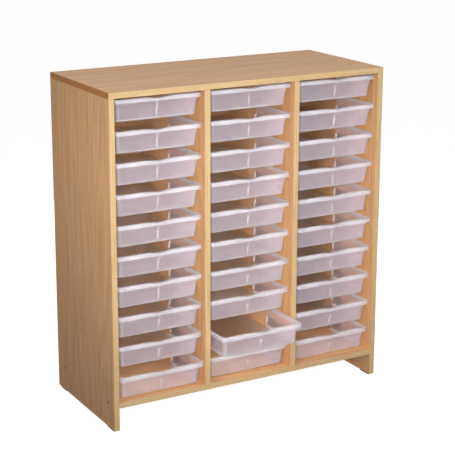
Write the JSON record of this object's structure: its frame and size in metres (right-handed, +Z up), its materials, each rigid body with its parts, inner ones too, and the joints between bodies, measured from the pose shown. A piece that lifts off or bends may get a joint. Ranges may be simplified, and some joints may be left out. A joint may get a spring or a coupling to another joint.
{
  "type": "classroom tray storage unit",
  "caption": "Open-fronted board cabinet on glides, with columns of shallow translucent trays that slide out on runner strips.",
  "frame": {"origin": "on the floor, under the middle of the unit's box with its trays as they stand, one of them drawn out", "axes": "+Z up; -Y towards the front, the way the trays come out; +X to the right as seen from the front"},
  "size_m": [1.033, 0.542, 1.122],
  "materials": {
    "beech_board": "beech-effect melamine facing, satin",
    "beech_edge": "pale beech edge banding, satin",
    "back_board": "thin board with a beech-effect facing, matt",
    "frosted_tray": "frosted natural polypropylene, injection moulded",
    "black_glide": "black plastic, matt",
    "dark_bolt": "darkened steel"
  },
  "bodies": {
    "cabinet": {"top_panel": "beech_board", "bottom_panel": "beech_board", "back_panel": "back_board", "left_side_panel": "beech_board", "right_side_panel": "beech_board", "left_divider_panel": "beech_board", "right_divider_panel": "beech_board", "top_front_edge_band": "beech_edge", "top_left_edge_band": "beech_edge", "top_right_edge_band": "beech_edge", "bottom_edge_band": "beech_edge", "left_side_edge_band": "beech_edge", "right_side_edge_band": "beech_edge", "left_divider_edge_band": "beech_edge", "right_divider_edge_band": "beech_edge", "left_front_bolt": "dark_bolt", "left_rear_bolt": "dark_bolt", "right_front_bolt": "dark_bolt", "right_rear_bolt": "dark_bolt", "front_left_glide": "black_glide", "rear_left_glide": "black_glide", "front_right_glide": "black_glide", "rear_right_glide": "black_glide"},
    "left_tray_01": {"left_tray_01": "frosted_tray"},
    "left_tray_02": {"left_tray_02": "frosted_tray"},
    "left_tray_03": {"left_tray_03": "frosted_tray"},
    "left_tray_04": {"left_tray_04": "frosted_tray"},
    "left_tray_05": {"left_tray_05": "frosted_tray"},
    "left_tray_06": {"left_tray_06": "frosted_tray"},
    "left_tray_07": {"left_tray_07": "frosted_tray"},
    "left_tray_08": {"left_tray_08": "frosted_tray"},
    "left_tray_09": {"left_tray_09": "frosted_tray"},
    "left_tray_10": {"left_tray_10": "frosted_tray"},
    "middle_tray_01": {"middle_tray_01": "frosted_tray"},
    "middle_tray_02": {"middle_tray_02": "frosted_tray"},
    "middle_tray_03": {"middle_tray_03": "frosted_tray"},
    "middle_tray_04": {"middle_tray_04": "frosted_tray"},
    "middle_tray_05": {"middle_tray_05": "frosted_tray"},
    "middle_tray_06": {"middle_tray_06": "frosted_tray"},
    "middle_tray_07": {"middle_tray_07": "frosted_tray"},
    "middle_tray_08": {"middle_tray_08": "frosted_tray"},
    "middle_tray_09": {"middle_tray_09": "frosted_tray"},
    "middle_tray_10": {"middle_tray_10": "frosted_tray"},
    "right_tray_01": {"right_tray_01": "frosted_tray"},
    "right_tray_02": {"right_tray_02": "frosted_tray"},
    "right_tray_03": {"right_tray_03": "frosted_tray"},
    "right_tray_04": {"right_tray_04": "frosted_tray"},
    "right_tray_05": {"right_tray_05": "frosted_tray"},
    "right_tray_06": {"right_tray_06": "frosted_tray"},
    "right_tray_07": {"right_tray_07": "frosted_tray"},
    "right_tray_08": {"right_tray_08": "frosted_tray"},
    "right_tray_09": {"right_tray_09": "frosted_tray"},
    "right_tray_10": {"right_tray_10": "frosted_tray"}
  },
  "joints": [
    {"name": "left_tray_01_slide", "type": "slide", "parent": "cabinet", "child": "left_tray_01", "axis": [0, -1, 0], "range_m": [0, 0.44]},
    {"name": "left_tray_02_slide", "type": "slide", "parent": "cabinet", "child": "left_tray_02", "axis": [0, -1, 0], "range_m": [0, 0.44]},
    {"name": "left_tray_03_slide", "type": "slide", "parent": "cabinet", "child": "left_tray_03", "axis": [0, -1, 0], "range_m": [0, 0.44]},
    {"name": "left_tray_04_slide", "type": "slide", "parent": "cabinet", "child": "left_tray_04", "axis": [0, -1, 0], "range_m": [0, 0.44]},
    {"name": "left_tray_05_slide", "type": "slide", "parent": "cabinet", "child": "left_tray_05", "axis": [0, -1, 0], "range_m": [0, 0.44]},
    {"name": "left_tray_06_slide", "type": "slide", "parent": "cabinet", "child": "left_tray_06", "axis": [0, -1, 0], "range_m": [0, 0.44]},
    {"name": "left_tray_07_slide", "type": "slide", "parent": "cabinet", "child": "left_tray_07", "axis": [0, -1, 0], "range_m": [0, 0.44]},
    {"name": "left_tray_08_slide", "type": "slide", "parent": "cabinet", "child": "left_tray_08", "axis": [0, -1, 0], "range_m": [0, 0.44]},
    {"name": "left_tray_09_slide", "type": "slide", "parent": "cabinet", "child": "left_tray_09", "axis": [0, -1, 0], "range_m": [0, 0.44]},
    {"name": "left_tray_10_slide", "type": "slide", "parent": "cabinet", "child": "left_tray_10", "axis": [0, -1, 0], "range_m": [-0.013, 0.427]},
    {"name": "middle_tray_01_slide", "type": "slide", "parent": "cabinet", "child": "middle_tray_01", "axis": [0, -1, 0], "range_m": [0, 0.44]},
    {"name": "middle_tray_02_slide", "type": "slide", "parent": "cabinet", "child": "middle_tray_02", "axis": [0, -1, 0], "range_m": [0, 0.44]},
    {"name": "middle_tray_03_slide", "type": "slide", "parent": "cabinet", "child": "middle_tray_03", "axis": [0, -1, 0], "range_m": [0, 0.44]},
    {"name": "middle_tray_04_slide", "type": "slide", "parent": "cabinet", "child": "middle_tray_04", "axis": [0, -1, 0], "range_m": [0, 0.44]},
    {"name": "middle_tray_05_slide", "type": "slide", "parent": "cabinet", "child": "middle_tray_05", "axis": [0, -1, 0], "range_m": [0, 0.44]},
    {"name": "middle_tray_06_slide", "type": "slide", "parent": "cabinet", "child": "middle_tray_06", "axis": [0, -1, 0], "range_m": [0, 0.44]},
    {"name": "middle_tray_07_slide", "type": "slide", "parent": "cabinet", "child": "middle_tray_07", "axis": [0, -1, 0], "range_m": [0, 0.44]},
    {"name": "middle_tray_08_slide", "type": "slide", "parent": "cabinet", "child": "middle_tray_08", "axis": [0, -1, 0], "range_m": [0, 0.44]},
    {"name": "middle_tray_09_slide", "type": "slide", "parent": "cabinet", "child": "middle_tray_09", "axis": [0, -1, 0], "range_m": [-0.09, 0.35]},
    {"name": "middle_tray_10_slide", "type": "slide", "parent": "cabinet", "child": "middle_tray_10", "axis": [0, -1, 0], "range_m": [0, 0.44]},
    {"name": "right_tray_01_slide", "type": "slide", "parent": "cabinet", "child": "right_tray_01", "axis": [0, -1, 0], "range_m": [0, 0.44]},
    {"name": "right_tray_02_slide", "type": "slide", "parent": "cabinet", "child": "right_tray_02", "axis": [0, -1, 0], "range_m": [0, 0.44]},
    {"name": "right_tray_03_slide", "type": "slide", "parent": "cabinet", "child": "right_tray_03", "axis": [0, -1, 0], "range_m": [0, 0.44]},
    {"name": "right_tray_04_slide", "type": "slide", "parent": "cabinet", "child": "right_tray_04", "axis": [0, -1, 0], "range_m": [0, 0.44]},
    {"name": "right_tray_05_slide", "type": "slide", "parent": "cabinet", "child": "right_tray_05", "axis": [0, -1, 0], "range_m": [0, 0.44]},
    {"name": "right_tray_06_slide", "type": "slide", "parent": "cabinet", "child": "right_tray_06", "axis": [0, -1, 0], "range_m": [0, 0.44]},
    {"name": "right_tray_07_slide", "type": "slide", "parent": "cabinet", "child": "right_tray_07", "axis": [0, -1, 0], "range_m": [0, 0.44]},
    {"name": "right_tray_08_slide", "type": "slide", "parent": "cabinet", "child": "right_tray_08", "axis": [0, -1, 0], "range_m": [0, 0.44]},
    {"name": "right_tray_09_slide", "type": "slide", "parent": "cabinet", "child": "right_tray_09", "axis": [0, -1, 0], "range_m": [0, 0.44]},
    {"name": "right_tray_10_slide", "type": "slide", "parent": "cabinet", "child": "right_tray_10", "axis": [0, -1, 0], "range_m": [0, 0.44]}
  ]
}
